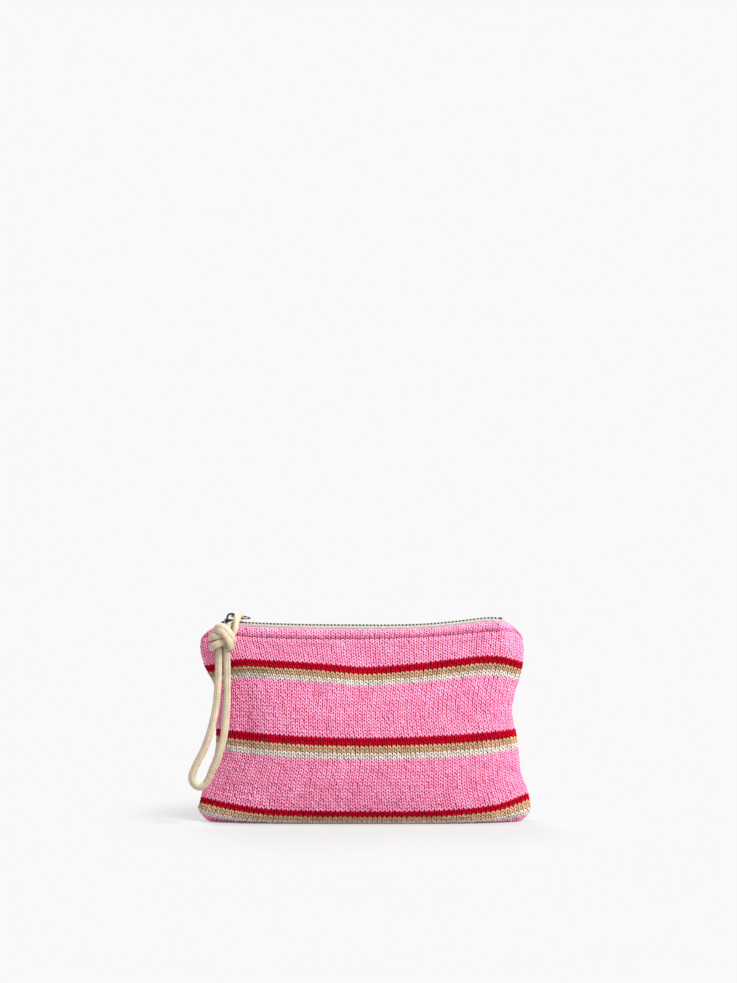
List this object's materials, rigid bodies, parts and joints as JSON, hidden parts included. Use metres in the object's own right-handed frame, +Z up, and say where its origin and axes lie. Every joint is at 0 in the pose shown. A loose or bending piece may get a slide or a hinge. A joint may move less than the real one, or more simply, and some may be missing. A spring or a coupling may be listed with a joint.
{
  "type": "wristlet pouch",
  "caption": "Striped knitted zip pouch, softly stuffed, with a metal zip, an oval wire pull loop and a knotted cord wrist strap.",
  "frame": {"origin": "centre of the pouch's footprint on the surface it stands on, under the middle of the body without its strap", "axes": "+X to the right along the zip, -Y towards the front, +Z up"},
  "size_m": [0.247, 0.049, 0.1527],
  "materials": {
    "knit": "stockinette knit cotton with red, tan and cream stripes",
    "lining": "plain woven lining",
    "tape": "cream woven zip tape",
    "zip_metal": "dark antique nickel plating",
    "strap": "soft cream leather cord"
  },
  "bodies": {
    "pouch": {"knit_front": "knit", "knit_base": "knit", "lining_front": "lining", "lining_base": "lining", "tape_front": "tape", "teeth_front": "zip_metal", "tape_front_slider_end": "tape", "teeth_front_slider_end": "zip_metal", "tape_front_stop_end": "tape", "teeth_front_stop_end": "zip_metal", "top_stop_front": "zip_metal", "tape_back_slider_end": "tape", "teeth_back_slider_end": "zip_metal", "tape_back_stop_end": "tape", "teeth_back_stop_end": "zip_metal", "top_stop_back": "zip_metal", "bottom_stop": "zip_metal"},
    "back": {"knit_back": "knit", "lining_back": "lining", "tape_back": "tape", "teeth_back": "zip_metal"},
    "slider": {"slider": "zip_metal"},
    "pull": {"pull_loop": "zip_metal"},
    "knot": {"strap_knot": "strap", "strap_bight": "strap"},
    "strap": {"strap_loop": "strap"}
  },
  "joints": [
    {"name": "zip_slide", "type": "hinge", "parent": "pouch", "child": "slider", "pos_m": [-0.0243, 0, 1.3032], "axis": [0, -1, 0], "range_deg": [0, 9.43], "deforming": ["teeth_front", "teeth_front_slider_end", "teeth_front_stop_end", "teeth_back_slider_end", "teeth_back_stop_end", "teeth_back", "strap_loop", "strap_bight"]},
    {"name": "mouth_open", "type": "hinge", "parent": "pouch", "child": "back", "pos_m": [0, 0.01345, 0], "axis": [-1, 0, 0], "range_deg": [0, 12]},
    {"name": "pull_flip", "type": "hinge", "parent": "slider", "child": "pull", "pos_m": [-0.0968, 0, 0.14967], "axis": [0, -1, 0], "range_deg": [0, 165], "deforming": ["strap_bight"]},
    {"name": "strap_hang", "type": "hinge", "parent": "pull", "child": "knot", "pos_m": [-0.0908, -0.0042, 0.1489], "axis": [0, -1, 0], "range_deg": [-165, 0], "deforming": ["strap_bight"]},
    {"name": "strap_swing", "type": "hinge", "parent": "knot", "child": "strap", "pos_m": [-0.1021, -0.02075, 0.13075], "axis": [-1, 0, 0], "range_deg": [0, 70]}
  ],
  "couplings": [
    {"joint": "strap_hang", "follows": "pull_flip", "ratio": -1}
  ]
}
